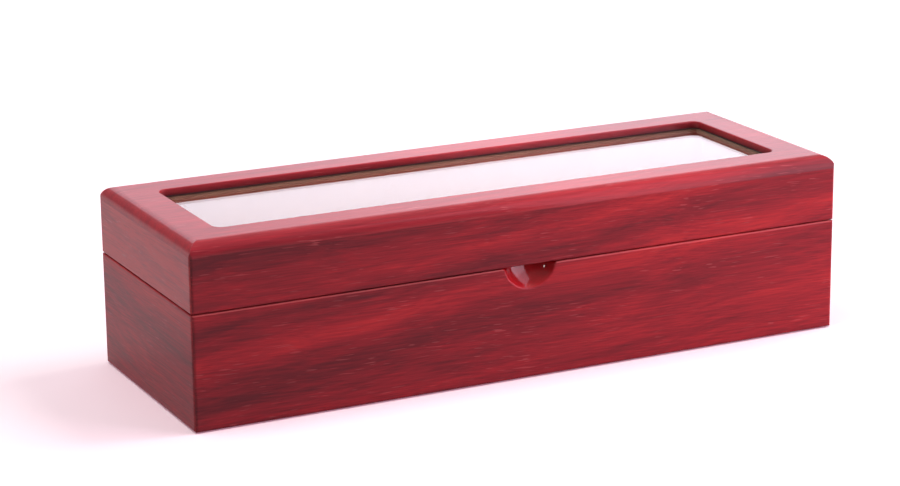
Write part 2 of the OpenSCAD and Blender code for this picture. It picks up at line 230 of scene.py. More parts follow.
def rgb(r, g, b):
    """An sRGB colour from 0 to 255, as the linear values that shaders take."""
    def lin(c):
        c /= 255
        return c / 12.92 if c <= 0.04045 else ((c + 0.055) / 1.055) ** 2.4
    return lin(r), lin(g), lin(b)


def shaded(colour, share):
    return tuple(c * share for c in colour)


# Reddish rosewood under a clear lacquer. The grain runs along the first axis of order.

# Broad bands of the veneer leaf: height in mm above the table at the box's middle, and depth of tone.
BANDS = [(-16, 0.02), (4, 0.06), (17, -0.02), (30, -0.16), (38, 0.03), (46, 0.30), (52, 0.02), (58, -0.20),
         (66, 0.20), (75, 0.02), (87, -0.22), (97, -0.05)]
BAND_LOW, BAND_HIGH, BAND_GREY = -20.0, 100.0, 0.5

# How much each layer of the figure sways the tone, the tone it sways about, and its rise to the right, which
# is painted light.
BAND_WEIGHT, BROAD_WEIGHT, STREAK_WEIGHT, FINE_WEIGHT = 0.27, 0.17, 0.24, 0.26
WOOD_TONE, PAINTED_LIGHT_PER_MM = 0.502, 0.00026
WOOD_COLOURS = [
    (0.36, rgb(110, 38, 45)),
    (0.44, rgb(140, 42, 50)),
    (0.51, rgb(170, 46, 55)),
    (0.58, rgb(196, 51, 59)),
    (0.67, rgb(222, 60, 63)),
]
FLECK_COLOUR, FLECK_SHARE = rgb(222, 108, 110), 0.42
PORE_COLOUR, PORE_SHARE = rgb(88, 20, 28), 0.26
TURN_BANDS = tuple(math.radians(a) for a in (0, 5.8, -4.0))
TURN_FIBRES = tuple(math.radians(a) for a in (0, -2.0, 2.0))

# The notch is cut into solid wood, stained one even dark red and lacquered thick. The window's cut edge
# has painted shade, darkest down at the glass. A pale line painted on the rim under the seam is a painted
# highlight.
NOTCH_RED, NOTCH_COAT = rgb(178, 14, 26), 0.85
PAINTED_WINDOW_SHADE, PAINTED_WINDOW_SHADE_SHARE = rgb(62, 10, 16), 0.85
ARRIS_PAINTED_HIGHLIGHT, ARRIS_PAINTED_HIGHLIGHT_SHARE = rgb(236, 132, 128), 0.38

# Where they lie: mm behind the front face, over the rim, and from the middle to the sides.
FRONT_Y, RIM_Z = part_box("base_front_board")[0][1] / MM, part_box("base_front_board")[1][2] / MM
TOP_Z, GLASS_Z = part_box("lid_top_frame")[1][2] / MM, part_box("glass_pane")[1][2] / MM
NOTCH_BACK, NOTCH_UP, NOTCH_HALF = (0.05, 0.5, 7.6, 8.0), (-12.0, -11.5, -0.15, -0.02), (15.5, 16.0)
ARRIS_BACK, ARRIS_UP = (0.5, 0.9), (-0.75, -0.35)
WINDOW_HALF_X, WINDOW_HALF_Y, WINDOW_ARRIS = (145, 146), (40, 41), 0.6

# The lid's top: painted light brightens its left edge, painted shade darkens its right end and a little its
# left end, and its roundings have less coat.
# Each is two values of the face's direction or of x in mm, and what the tone or the coat is there.
TOP_EDGE_PAINTED_LIGHT, TOP_LEFT, TOP_RIGHT_PAINTED_SHADE = (-0.30, -0.80, 0, 0.08), (-150, -60, -0.02, 0), (20, 150, 0.05, -0.10)
ROUNDING, ROUND_COAT, COAT_ALONG = (-0.60, -0.22), 0.3, (-150, 20, 0.78, 1.03)


def swayed(k, vector, along, across, reach):
    """The place, moved across the grain by slow noise, by up to half the reach in mm."""
    sway = k.times(k.minus(k.grain(vector, along, across, detail=1.5), 0.5), reach)
    add = k.new("ShaderNodeVectorMath", operation="ADD")
    k.link(vector, add.inputs[0])
    k.link(k.join(None, sway, sway), add.inputs[1])
    return add.outputs[0]


def rosewood(name, order="XYZ", shift=(0, 0, 0), coat=0.17, contrast=1.0, tone_shift=0.0, board="plain"):
    """The wood of a board, which is plain, notched (the front) or the lid's top."""
    k = Nodes(name)
    p = k.mapping(k.place(order), location=shift)
    # Broad bands climb to the right and the fibres fall a little, as in a slanting veneer leaf.
    leaf = k.mapping(p, rotation=TURN_FIBRES)
    warped = swayed(k, k.mapping(p, rotation=TURN_BANDS), 120, 40, 13.0)
    fibres = swayed(k, leaf, 60, 30, 3.0)
    span = BAND_HIGH - BAND_LOW
    height = k.math("PINGPONG", k.minus(k.split(warped)[2], BAND_LOW), span)
    stops = [((z - BAND_LOW) / span, (BAND_GREY + tone,) * 3) for z, tone in BANDS]
    band = k.ramp(k.math("DIVIDE", height, span), stops, "EASE")
    broad = k.grain(warped, 150, 12, detail=2)
    streak = k.grain(warped, 85, 2.6, (7, 3, 1), detail=4, rough=0.62)
    fine = k.grain(fibres, 55, 0.8, detail=3, rough=0.6)
    tone = k.times(k.minus(band, BAND_GREY), BAND_WEIGHT)
    for part, share in ((broad, BROAD_WEIGHT), (streak, STREAK_WEIGHT), (fine, FINE_WEIGHT)):
        tone = k.plus(tone, k.times(k.minus(part, 0.5), share))
    x = k.split(p)[0]
    # painted light: the tone rises along the board's first axis, to the right on the front and the top
    painted_light = k.times(x, PAINTED_LIGHT_PER_MM)
    face = k.split(k.new("ShaderNodeNewGeometry").outputs["Normal"]) if board == "top" else None
    if face:
        # the lid's top adds painted light at its left edge and painted shade at its ends
        painted_light = k.plus(painted_light, top_painted_light(k, x, face[0]))
    colour = k.ramp(k.plus(k.times(tone, contrast), painted_light, WOOD_TONE + tone_shift), WOOD_COLOURS)

    fleck = k.grain(fibres, 9, 0.55, (31, 11, 5), detail=0)
    patch = k.grain(leaf, 30, 12, (3, 17, 9), detail=2)
    flecks = k.times(k.range(fleck, 0.68, 0.82, smooth=True), k.range(patch, 0.42, 0.62, 0.1, 1.0))
    colour = k.mix(k.times(flecks, FLECK_SHARE), colour, FLECK_COLOUR)
    pore = k.grain(fibres, 13, 0.4, (2, 41, 13), detail=2, rough=0.4)
    pores = k.range(pore, 0.60, 0.74, smooth=True)
    colour = k.mix(k.times(pores, PORE_SHARE), colour, PORE_COLOUR)

    if board == "top":
        coat = k.times(k.range(face[1], *ROUNDING, ROUND_COAT, coat, smooth=True),
                       k.range(x, *COAT_ALONG, smooth=True))
        # painted shade down the window's inner wall, darkest at the glass
        colour = k.mix(painted_window_shade(k), colour, PAINTED_WINDOW_SHADE)
    if board == "notched":
        inside = notch_share(k)
        colour = k.mix(inside, colour, NOTCH_RED)
        coat = k.range(inside, 0, 1, coat, NOTCH_COAT)
        # a pale line along the edge under the seam: a painted highlight
        colour = k.mix(k.times(painted_arris_highlight(k), ARRIS_PAINTED_HIGHLIGHT_SHARE), colour, ARRIS_PAINTED_HIGHLIGHT)

    lacquer = k.bump(k.grain(p, 16, 11, detail=2), 0.05, 0.0006)
    under = k.bump(k.minus(fine, k.times(pores, 0.6)), 0.25, 0.00008)
    return k.finish(k.principled(
        Base_Color=colour, Roughness=0.5, Specular_IOR_Level=0.10, Normal=under,
        Coat_Weight=coat, Coat_Roughness=0.09, Coat_IOR=1.5, Coat_Normal=lacquer,
    ))


def top_painted_light(k, x, face_x):
    """The painted light and shade that the lid's top gains at its left edge and its ends."""
    return k.plus(k.range(face_x, *TOP_EDGE_PAINTED_LIGHT, smooth=True), k.range(x, *TOP_RIGHT_PAINTED_SHADE, smooth=True),
                  k.range(x, *TOP_LEFT, smooth=True))


def notch_share(k):
    """1 on the notch's inside, 0 on the rest of the front board."""
    x, y, z = k.split(k.place())
    return k.times(k.between(y, *(FRONT_Y + back for back in NOTCH_BACK)),
                   k.range(k.math("ABSOLUTE", x), *NOTCH_HALF, 1, 0),
                   k.between(z, *(RIM_Z + up for up in NOTCH_UP)))


def painted_window_shade(k):
    """Painted shade: 0 on the top's face, rising down the window's inner wall to its darkest at the glass.
    """
    x, y, z = k.split(k.place())
    return k.times(k.range(k.math("ABSOLUTE", x), *WINDOW_HALF_X, 1, 0),
                   k.range(k.math("ABSOLUTE", y), *WINDOW_HALF_Y, 1, 0),
                   k.range(z, GLASS_Z, TOP_Z - WINDOW_ARRIS, PAINTED_WINDOW_SHADE_SHARE, 0.0))


def painted_arris_highlight(k):
    """1 on the thin edge under the seam, where a pale line is painted on as a highlight."""
    _, y, z = k.split(k.place())
    return k.times(k.range(z, *(RIM_Z + up for up in ARRIS_UP), smooth=True),
                   k.range(y, *(FRONT_Y + back for back in ARRIS_BACK), 1, 0, smooth=True))


def plywood(name):
    k = Nodes(name)
    grain = k.noise(k.mapping(k.place(), scale=(1 / 60, 1 / 2.2, 1)), detail=5, rough=0.6, distort=0.6)
    colour = k.ramp(grain, [(0.3, rgb(150, 112, 74)), (0.7, rgb(196, 156, 112))])
    return k.finish(k.principled(Base_Color=colour, Roughness=0.75, Normal=k.bump(grain, 0.3, 0.0001)))


def suede(name, tint, nap=1.0):
    """Short-napped suedette: brushed patches, a fine pile and a soft sheen."""
    k = Nodes(name)
    p = k.place()
    patch = k.grain(p, 18, 18, detail=4, rough=0.6, distort=0.8)
    pile = k.noise(p, scale=2.6, detail=2, rough=0.7)
    colour = k.mix(k.range(patch, 0.35, 0.65), shaded(tint, 0.91), tint)
    colour = k.mix(k.range(pile, 0.3, 0.7, 0.0, 0.28 * nap), colour, shaded(tint, 0.72))
    return k.finish(k.principled(
        Base_Color=colour, Roughness=k.range(patch, 0.3, 0.7, 0.98, 0.86), Specular_IOR_Level=0.2,
        Sheen_Weight=0.45, Sheen_Roughness=0.45, Sheen_Tint=(1.0, 0.97, 0.92, 1),
        Normal=k.bump(pile, 0.5 * nap, 0.00012),
    ))


def sewing_thread(name, tint):
    k = Nodes(name)
    twist = k.noise(k.mapping(k.place(), scale=(2.5, 2.5, 2.5)), detail=2)
    colour = k.mix(k.range(twist, 0.35, 0.65), shaded(tint, 0.75), tint)
    return k.finish(k.principled(Base_Color=colour, Roughness=0.7, Normal=k.bump(twist, 0.5, 0.00005)))


def felt(name):
    k = Nodes(name)
    fibre = k.noise(k.place(), scale=1.8, detail=4, rough=0.75, distort=1.2)
    colour = k.ramp(fibre, [(0.35, rgb(22, 20, 20)), (0.7, rgb(52, 48, 47))])
    return k.finish(k.principled(Base_Color=colour, Roughness=0.97, Sheen_Weight=0.4,
                                 Normal=k.bump(fibre, 0.8, 0.0002)))


def brass(name):
    k = Nodes(name)
    p = k.place()
    brushed = k.grain(p, 12, 0.12, detail=2)
    stain = k.noise(p, scale=0.35, detail=4, rough=0.6)
    colour = k.mix(k.range(stain, 0.4, 0.75, 0.0, 0.4), rgb(240, 208, 134), rgb(214, 174, 104))
    rough = k.plus(k.range(brushed, 0.3, 0.7, 0.26, 0.36), k.range(stain, 0.4, 0.8, 0.0, 0.10))
    return k.finish(k.principled(Base_Color=colour, Metallic=1.0, Roughness=rough,
                                 Normal=k.bump(brushed, 0.08, 0.00003)))


def window_glass(name):
    """Clear glass that lets the lamps' light through to the tray."""
    k = Nodes(name)
    smear = k.noise(k.mapping(k.place(), scale=(1 / 40, 1 / 25, 1)), detail=3, rough=0.6)
    glass = k.principled(Base_Color=(0.97, 0.99, 0.985, 1), Roughness=k.range(smear, 0.4, 0.8, 0.0, 0.03),
                         IOR=1.5, Transmission_Weight=1.0)
    clear = k.new("ShaderNodeBsdfTransparent")
    clear.inputs["Color"].default_value = (0.94, 0.96, 0.955, 1)
    mix = k.new("ShaderNodeMixShader")
    k.link(k.ray("Shadow"), mix.inputs[0])
    k.link(glass.outputs[0], mix.inputs[1])
    k.link(clear.outputs[0], mix.inputs[2])
    return k.finish(mix)


def clear_rubber(name):
    k = Nodes(name)
    cloud = k.noise(k.place(), scale=0.9, detail=3)
    colour = k.ramp(cloud, [(0.3, rgb(196, 198, 196)), (0.7, rgb(226, 227, 224))])
    return k.finish(k.principled(Base_Color=colour, Roughness=k.range(cloud, 0.3, 0.7, 0.3, 0.45),
                                 Subsurface_Weight=0.2))


def bedding(name):
    k = Nodes(name)
    speck = k.noise(k.place(), scale=1.2, detail=3)
    colour = k.ramp(speck, [(0.3, rgb(40, 12, 12)), (0.7, rgb(58, 20, 18))])
    return k.finish(k.principled(Base_Color=colour, Roughness=0.6, Normal=k.bump(speck, 0.3, 0.00005)))


def dress(mat, *names):
    for name in names:
        o = NODES[name]
        o.data.materials.clear()
        o.data.materials.append(mat)


CREAM, IVORY, THREAD = rgb(172, 134, 112), rgb(240, 226, 214), rgb(214, 190, 168)
LINED = ("tray_lining", "divider", "glass_bead", "lid_lining")
END_LEAF = {"order": "YXZ", "shift": (60, 20, 0)}

pad_cloth = suede("cream_suede_cushion", IVORY, nap=1.15)
thread = sewing_thread("cream_thread", THREAD)

dress(rosewood("lacquered_rosewood_front", board="notched"), "base_front_board")
dress(rosewood("lacquered_rosewood_long"), "lid_front_board", "base_back_board", "lid_back_board")
dress(rosewood("lacquered_rosewood_end", **END_LEAF, coat=0.24), "base_left_board", "base_right_board")
dress(rosewood("lacquered_rosewood_lid_end", **END_LEAF, coat=0.38, tone_shift=0.10),
      "lid_left_board", "lid_right_board")
dress(rosewood("lacquered_rosewood_top", coat=0.47, contrast=0.6, board="top"), "lid_top_frame")
dress(plywood("bottom_plywood"), "bottom_panel")
dress(felt("black_felt"), "underside_felt")
dress(suede("cream_suede_lining", CREAM), "tray_floor", *(n for n in NODES if n.startswith(LINED)))
dress(brass("polished_brass"), *(n for n in NODES if "hinge" in n))
dress(window_glass("float_glass"), "glass_pane")
dress(clear_rubber("buffer_polyurethane"), "lid_buffers")


def new_piece(name, verts, faces, mat, body, smooth_faces=True):
    """A piece of points in millimetres, which rides on a body."""
    mesh = bpy.data.meshes.new(name)
    mesh.from_pydata([tuple(float(c) * MM for c in v) for v in verts], [], faces)
    mesh.polygons.foreach_set("use_smooth", [smooth_faces] * len(mesh.polygons))
    mesh.materials.append(mat)
    o = bpy.data.objects.new(name, mesh)
    SCENE.collection.objects.link(o)
    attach(o, body)
    return o


# Watch cushions: a suede-covered foam block with a sewn round nest and a trough for the crown and bow.
# Lengths are in millimetres from the middle of the cushion's foot.

CUSHION_LO, CUSHION_HI = (np.array(v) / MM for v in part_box("watch_cushion_1"))
CUSHION_W, CUSHION_D, CUSHION_H = CUSHION_HI - CUSHION_LO
CUSHIONS, PAD_FILL = 5, 0.85
CORNER, ROLL, PINCH, CROWN = 5.0, 4.0, 1.2, 2.5
NEST_R, NEST_Y, NEST_DEPTH, NEST_FLAT, NEST_RIM = 22.5, -4.0, 6.0, 0.5, 1.06
BOW_HALF, BOW_DEPTH = 9.0, 3.5
BOW_STARTS, BOW_FADES = 0.75 * NEST_R, 0.3 * NEST_R
BOW_STOPS, BOW_RISES = 11, 7

# The cover's mesh: points along the sides and round a corner, and rings over the nest, the top, the
# rolled edge and down the sides. FOOT_PINCH is the share of the pinch that is left at the foot.
SIDE_PARTS, CORNER_PARTS = (44, 30), 8
NEST_RINGS, TOP_RINGS, ROLL_RINGS = 27, 15, 9
SIDE_HEIGHTS = (30, 26, 22, 18, 14, 10, 6, 3, 1.5)
FOOT_INSET, FOOT_PINCH = 1.5, 0.4

# The cloth of the swollen cover, the most that a point may move, and the height below which it is glued.
# The finished top may stand TOP_CLEAR over the solid's, and RAY_START is well above it.
CLOTH = {"use_pressure": True, "uniform_pressure_force": 4.0, "quality": 6, "tension_stiffness": 12,
         "compression_stiffness": 12, "shear_stiffness": 6, "bending_stiffness": 0.6,
         "vertex_group_mass": "held", "pin_stiffness": 1.0}
FRAMES, SWELL, GLUED_BELOW = 20, 0.6, 4
TOP_CLEAR, RAY_START = 0.4, 60

# Puckers round the nest, as waves in a turn and their heights, and where they are, in nest radii.
PUCKER_SEED, PUCKERS, PUCKER_AT, PUCKER_WIDTH = 7, ((17, 0.10), (26, 0.09), (41, 0.06)), 1.08, 0.14
WRINKLES_BELOW, WRINKLES_FADE = 10, 6

# Folds start at a share of each half size and grow over the next share.
FOLD_WAVE, FOLD_HEIGHT, FOLD_X, FOLD_Y = 1.7, 0.22, (0.70, 0.3), (0.78, 0.22)
WELT_R, WELT_TUBE, WELT_LIFT = 23.4, 0.8, 0.35
GROOVE, GROOVE_WIDTH, GROOVE_FADE = 0.9, 1.1, 8
STITCH_R, STITCH_STEP, STITCH_SHARE, STITCH_TUBE = 25.4, 2.8, 0.68, 0.28
STITCH_LIFT, STITCH_DIP, STITCH_END = 0.20, 0.34, 0.12
PIPE_INSET, PIPE_TUBE, PIPE_SINK, PIPE_LIFT = 0.35, 0.7, 0.3, 0.2


def clamp(v):
    return np.clip(v, 0, 1)


def smooth(v):
    return clamp(v) ** 2 * (3 - 2 * clamp(v))


def cushion_outline():
    """Points round the cushion: the place from -1 to 1 on each axis, and the way out in degrees."""
    out = []
    for q in range(4):
        n = np.array([math.cos(math.pi / 2 * q), math.sin(math.pi / 2 * q)]).round(9)
        t = np.array([-n[1], n[0]])
        parts = SIDE_PARTS[q % 2]
        out += [(*(n + t * (2 * i / parts - 1)), 90 * q) for i in range(1, parts)]
        out += [(*(n + t), 90 * q + 90 * b / CORNER_PARTS) for b in range(CORNER_PARTS + 1)]
    return np.array(out)


def cushion_edge(o, inset, waist):
    """The outline in millimetres, moved in by the inset, with sides that pull in between the corners."""
    pull = waist * (1 - (o[:, 0] * o[:, 1]) ** 2)
    out = CORNER - inset - pull
    a = np.radians(o[:, 2])
    return np.stack([o[:, 0] * (CUSHION_W / 2 - CORNER) + out * np.cos(a),
                     o[:, 1] * (CUSHION_D / 2 - CORNER) + out * np.sin(a)], 1)


def cushion_top(x, y):
    """The height of the crowned top, without the nest."""
    fall = (2 * x / CUSHION_W) ** 2 + (2 * y / CUSHION_D) ** 2
    across = 0.5 + 0.5 * np.cos(math.pi * clamp(abs(x) / BOW_HALF))
    starts = smooth((y - NEST_Y - BOW_STARTS) / BOW_FADES)
    ends = 1 - smooth((y - CUSHION_D / 2 + BOW_STOPS) / BOW_RISES)
    return CUSHION_H - CROWN * fall / 2 - BOW_DEPTH * across * starts * ends


def nest_share(s):
    """The nest's depth, from 1 on its floor to 0 at its rim."""
    rise = clamp((s - NEST_FLAT) / (NEST_RIM - NEST_FLAT))
    return np.where(s < NEST_FLAT, 1, 0.5 + 0.5 * np.cos(math.pi * rise))


def cushion_rings(o):
    rings = []
    edge = cushion_edge(o, ROLL, PINCH)
    way = edge - (0, NEST_Y)
    way /= np.linalg.norm(way, axis=1)[:, None]
    for s in np.linspace(0, NEST_RIM, NEST_RINGS)[1:]:
        p = s * NEST_R * way + (0, NEST_Y)
        rings.append(np.column_stack([p, cushion_top(p[:, 0], p[:, 1]) - NEST_DEPTH * nest_share(s)]))
    rim = NEST_RIM * NEST_R * way + (0, NEST_Y)
    for m in np.linspace(0, 1, TOP_RINGS)[1:]:
        p = (1 - m) * rim + m * edge
        rings.append(np.column_stack([p, cushion_top(p[:, 0], p[:, 1])]))
    top = cushion_top(edge[:, 0], edge[:, 1])
    for b in np.radians(np.linspace(0, 90, ROLL_RINGS)[1:]):
        p = cushion_edge(o, ROLL * (1 - math.sin(b)), PINCH)
        rings.append(np.column_stack([p, top - ROLL * (1 - math.cos(b))]))
    for z in SIDE_HEIGHTS:
        p = cushion_edge(o, 0, PINCH * (FOOT_PINCH + (1 - FOOT_PINCH) * z / CUSHION_H))
        rings.append(np.column_stack([p, np.full(len(o), z)]))
    p = cushion_edge(o, FOOT_INSET, PINCH * FOOT_PINCH)
    rings.append(np.column_stack([p, np.zeros(len(o))]))
    return rings


def cushion_mesh(name):
    o = cushion_outline()
    n = len(o)
    rings = cushion_rings(o)
    centre = [[0, NEST_Y, float(cushion_top(np.float64(0), np.float64(NEST_Y))) - NEST_DEPTH]]
    verts = np.concatenate([centre, *rings, [[0, 0, 0]]])
    faces = [(0, 1 + j, 1 + (j + 1) % n) for j in range(n)]
    for k in range(len(rings) - 1):
        a, b = 1 + k * n, 1 + (k + 1) * n
        faces += [(a + j, b + j, b + (j + 1) % n, a + (j + 1) % n) for j in range(n)]
    last = 1 + (len(rings) - 1) * n
    faces += [(len(verts) - 1, last + (j + 1) % n, last + j) for j in range(n)]
    mesh = bpy.data.meshes.new(name)
    mesh.from_pydata((verts * MM).tolist(), [], faces)
    mesh.polygons.foreach_set("use_smooth", [True] * len(mesh.polygons))
    mesh.update()
    return mesh


def points_of(mesh):
    co = np.empty(len(mesh.vertices) * 3)
    mesh.vertices.foreach_get("co", co)
    return co.reshape(-1, 3) / MM


def put_points(mesh, points):
    mesh.vertices.foreach_set("co", (points * MM).ravel())
    mesh.update()


def applied(o):
    """The mesh of an object with its modifiers applied."""
    depsgraph = bpy.context.evaluated_depsgraph_get()
    return bpy.data.meshes.new_from_object(o.evaluated_get(depsgraph))


def swollen(mesh):
    """The cover as cloth under the foam's pressure: the whole cover swells, its foot stays down."""
    o = bpy.data.objects.new("cushion_cloth", mesh)
    SCENE.collection.objects.link(o)
    start = points_of(mesh)
    low = [i for i, p in enumerate(start) if p[2] < GLUED_BELOW]
    o.vertex_groups.new(name="held").add(low, 1.0, "REPLACE")
    cloth = o.modifiers.new("cloth", "CLOTH").settings
    for key, value in CLOTH.items():
        setattr(cloth, key, value)
    cloth.effector_weights.gravity = 0
    for f in range(1, FRAMES + 1):
        SCENE.frame_set(f)
    out = applied(o)
    SCENE.frame_set(1)
    bpy.data.objects.remove(o)
    move = points_of(out) - start
    cap = SWELL / np.maximum(np.linalg.norm(move, axis=1), SWELL)
    put_points(out, start + move * cap[:, None])
    return out


def add_wrinkles(points):
    """The grooves that the seams pull in, puckers that run out from the nest, folds at the corners."""
    rng = np.random.default_rng(PUCKER_SEED)
    x, y, z = points.T
    way = np.arctan2(y - NEST_Y, x)
    s = np.hypot(x, y - NEST_Y) / NEST_R
    near = np.exp(-((s - PUCKER_AT) / PUCKER_WIDTH) ** 2)
    pucker = sum(np.sin(n * way + rng.uniform(0, 6.3)) * a for n, a in PUCKERS)
    up = smooth((z - CUSHION_H + WRINKLES_BELOW) / WRINKLES_FADE)
    lift = near * pucker * up
    corner = clamp((abs(x) / (CUSHION_W / 2) - FOLD_X[0]) / FOLD_X[1])
    corner = corner * clamp((abs(y) / (CUSHION_D / 2) - FOLD_Y[0]) / FOLD_Y[1])
    fold = np.sin(FOLD_WAVE * (abs(x) - abs(y)) + 2.0 * np.sign(x) + np.sign(y)) * FOLD_HEIGHT * corner * up
    groove = GROOVE * np.exp(-((s * NEST_R - WELT_R) / GROOVE_WIDTH) ** 2)
    groove = groove * smooth((z - CUSHION_H / 2) / GROOVE_FADE)
    points[:, 2] = z + lift + fold - groove
    return points


def height_over(mesh):
    """The height of the finished cover at a place on its plan, found from well above it."""
    faces = [tuple(f.vertices) for f in mesh.polygons]
    tree = BVHTree.FromPolygons([tuple(p) for p in points_of(mesh)], faces)
    return lambda x, y: tree.ray_cast(Vector((x, y, RAY_START)), Vector((0, 0, -1)))[0].z


def ring_faces(n, sides):
    """The faces of a closed tube of n sections."""
    faces = []
    for i in range(n):
        a, b = i * sides, (i + 1) % n * sides
        faces += [(a + j, b + j, b + (j + 1) % sides, a + (j + 1) % sides) for j in range(sides)]
    return faces


def nest_welt(height, turns=96, sides=8):
    """A closed welt that lies round the nest."""
    verts = []
    for i in range(turns):
        a = 2 * math.pi * i / turns
        z = height(WELT_R * math.cos(a), NEST_Y + WELT_R * math.sin(a)) + WELT_LIFT
        for j in range(sides):
            b = 2 * math.pi * j / sides
            r = WELT_R + WELT_TUBE * math.cos(b)
            verts.append((r * math.cos(a), NEST_Y + r * math.sin(a), z + WELT_TUBE * math.sin(b)))
    return verts, ring_faces(turns, sides)


def nest_stitches(height, sides=6, parts=5):
    """A ring of short stitches just outside the welt, each a small capsule that dips at its ends."""
    verts, faces = [], []
    count = int(2 * math.pi * STITCH_R / STITCH_STEP)
    for i in range(count):
        base = len(verts)
        for k in range(parts):
            t = k / (parts - 1)
            a = 2 * math.pi * i / count + (t - 0.5) * STITCH_SHARE * STITCH_STEP / STITCH_R
            x, y = STITCH_R * math.cos(a), NEST_Y + STITCH_R * math.sin(a)
            r = STITCH_TUBE * math.sqrt(max(STITCH_END, 1 - (2 * t - 1) ** 4))
            z = height(x, y) + STITCH_LIFT - STITCH_DIP * (2 * t - 1) ** 2
            for j in range(sides):
                b = 2 * math.pi * j / sides
                out = r * math.cos(b)
                verts.append((x + out * math.cos(a), y + out * math.sin(a), z + r * math.sin(b)))
        for k in range(parts - 1):
            p, q = base + k * sides, base + (k + 1) * sides
            faces += [(p + j, q + j, q + (j + 1) % sides, p + (j + 1) % sides) for j in range(sides)]
        faces.append(tuple(base + j for j in range(sides)))
        faces.append(tuple(base + (parts - 1) * sides + j for j in reversed(range(sides))))
    return verts, faces


def edge_piping(sides=8):
    """The piping sewn where the cushion's top meets its sides."""
    o = cushion_outline()
    line, inner = cushion_edge(o, PIPE_INSET, PINCH), cushion_edge(o, ROLL, PINCH)
    height = cushion_top(inner[:, 0], inner[:, 1]) - ROLL + PIPE_LIFT
    ahead = np.roll(line, -1, 0) - np.roll(line, 1, 0)
    ahead /= np.linalg.norm(ahead, axis=1)[:, None]
    out = np.stack([ahead[:, 1], -ahead[:, 0]], 1)
    verts = []
    for i in range(len(line)):
        for j in range(sides):
            b = 2 * math.pi * j / sides
            x, y = line[i] + out[i] * (PIPE_TUBE * math.cos(b) - PIPE_SINK)
            verts.append((x, y, height[i] + PIPE_TUBE * math.sin(b)))
    return verts, ring_faces(len(line), sides)


def add_cushions():
    mesh = cushion_mesh("watch_cushion")
    mesh = swollen(mesh)
    low = np.array([-CUSHION_W / 2, -CUSHION_D / 2, 0])
    high = np.array([CUSHION_W / 2, CUSHION_D / 2, CUSHION_H + TOP_CLEAR])
    put_points(mesh, np.clip(add_wrinkles(points_of(mesh)), low, high))
    mesh.polygons.foreach_set("use_smooth", [True] * len(mesh.polygons))
    mesh.materials.clear()
    mesh.materials.append(pad_cloth)
    height = height_over(mesh)
    trims = (("nest_welt", *nest_welt(height), pad_cloth), ("nest_stitches", *nest_stitches(height), thread),
             ("edge_piping", *edge_piping(), pad_cloth))
    for i in range(1, CUSHIONS + 1):
        lo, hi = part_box(f"watch_cushion_{i}")
        place = ((lo[0] + hi[0]) / 2, (lo[1] + hi[1]) / 2, lo[2])
        o = bpy.data.objects.new(f"suede_cushion_{i}", mesh.copy())
        o.location = place
        SCENE.collection.objects.link(o)
        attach(o, "base")
        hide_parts(f"watch_cushion_{i}")
        for kind, verts, faces, mat in trims:
            new_piece(f"{kind}_{i}", verts, faces, mat, "base").location = place


# The bedding line: width, depth and corner radius of its inner and outer outline at the window's rim,
# the height of its foot over the glass, and the heights of its inner and outer top.
BEDDING_INNER, BEDDING_OUTER = (279.3, 70.3, 4.15), (279.96, 70.96, 4.48)
BEDDING_FOOT, BEDDING_TOP_IN, BEDDING_TOP_OUT = 0.02, 0.30, 0.42


def round_rect(w, d, r, steps=6):
    pts = []
    for q, (sx, sy) in enumerate([(1, 1), (-1, 1), (-1, -1), (1, -1)]):
        for i in range(steps + 1):
            a = math.pi / 2 * (q + i / steps)
            pts.append((sx * (w / 2 - r) + r * math.cos(a), sy * (d / 2 - r) + r * math.sin(a)))
    return pts


def add_glazing_line():
    """The thin dark bedding line where the glass meets the window's rim."""
    inner, outer = round_rect(*BEDDING_INNER), round_rect(*BEDDING_OUTER)
    n = len(inner)
    verts = []
    for line, rise in ((inner, BEDDING_FOOT), (outer, BEDDING_FOOT), (inner, BEDDING_TOP_IN),
                       (outer, BEDDING_TOP_OUT)):
        verts += [(*p, GLASS_Z + rise) for p in line]
    faces = []
    for i in range(n):
        j = (i + 1) % n
        faces += [(i, i + n, j + n, j), (i, j, j + 2 * n, i + 2 * n),
                  (i + n, i + 3 * n, j + 3 * n, j + n), (i + 2 * n, j + 2 * n, j + 3 * n, i + 3 * n)]
    new_piece("glazing_line", verts, faces, bedding("dark_bedding"), "lid",
              smooth_faces=False)


# Studio: a white floor, a pale world, a key from the upper right, a fill and a small lamp from the left,
# and two large soft panels, behind and at the right front. A backdrop has a level for the light that it
# throws, and is white to the rays that show it as it is.

FLOOR_SIZE, FLOOR_DROP = 8, 0.0002
FLOOR_WHITE, FLOOR_GRAIN, FLOOR_BOUNCE = 0.95, 0.01, 0.12
# The floor's glow near the box is tinted pink: painted reddish bounce light, which shows in the box's shadow
# and in its mirror image on the box.
FLOOR_GLOW, PAINTED_BOUNCE_PINK, FLOOR_FAR = 0.27, (1.0, 0.40, 0.57), (700, 1300)
WORLD_LOW, WORLD_HIGH, WORLD_DARK = 0.02, 0.42, 0.06
DARK_UP, DARK_FRONTWARD, CEILING = (0.06, 0.20), (-0.15, -0.40), (0.40, 0.70)
WHITE = (1, 1, 1)

